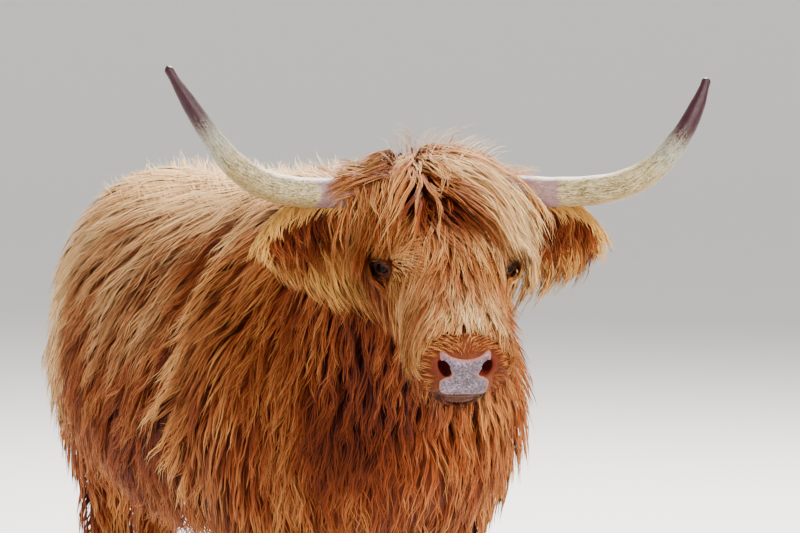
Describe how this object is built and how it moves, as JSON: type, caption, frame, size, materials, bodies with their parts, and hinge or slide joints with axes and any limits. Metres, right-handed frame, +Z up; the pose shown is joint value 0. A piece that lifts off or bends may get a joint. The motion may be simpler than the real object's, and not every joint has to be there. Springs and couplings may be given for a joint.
{
  "type": "highland cow",
  "caption": "Life-size highland cow standing still with its head turned to its right: long upswept horns, a forelock over the face and a long coat that hangs in locks.",
  "frame": {"origin": "on the floor, under the middle of the box that holds the whole animal", "axes": "+Z up, the cow faces -Y, and +X is its left side"},
  "size_m": [0.9726, 2.1424, 1.4053],
  "materials": {
    "coat": "long coarse hair in wavy locks, red brown at the roots and golden at the tips",
    "horn": "dull horn, ivory with grey streaks, a pinkish base and dark brown tips",
    "hoof": "dull dark horn with fine rings",
    "eye": "wet dark brown eye with a wide black pupil",
    "nose": "moist pebbled skin, lilac grey with dark speckles",
    "skin": "soft bare pink skin"
  },
  "bodies": {
    "root": {"torso": "coat", "neck": "coat", "head": "coat", "ear_left": "coat", "ear_right": "coat", "horn_left": "horn", "horn_right": "horn", "eye_left": "eye", "eye_right": "eye", "nose_pad": "nose", "tail": "coat", "udder": "skin", "front_right_upper_leg": "coat", "front_right_lower_leg": "coat", "front_right_hoof": "hoof", "front_right_dewclaw_outer": "hoof", "front_right_dewclaw_inner": "hoof", "front_left_upper_leg": "coat", "front_left_lower_leg": "coat", "front_left_hoof": "hoof", "front_left_dewclaw_outer": "hoof", "front_left_dewclaw_inner": "hoof", "hind_right_upper_leg": "coat", "hind_right_lower_leg": "coat", "hind_right_hoof": "hoof", "hind_right_dewclaw_outer": "hoof", "hind_right_dewclaw_inner": "hoof", "hind_left_upper_leg": "coat", "hind_left_lower_leg": "coat", "hind_left_hoof": "hoof", "hind_left_dewclaw_outer": "hoof", "hind_left_dewclaw_inner": "hoof"}
  },
  "joints": []
}
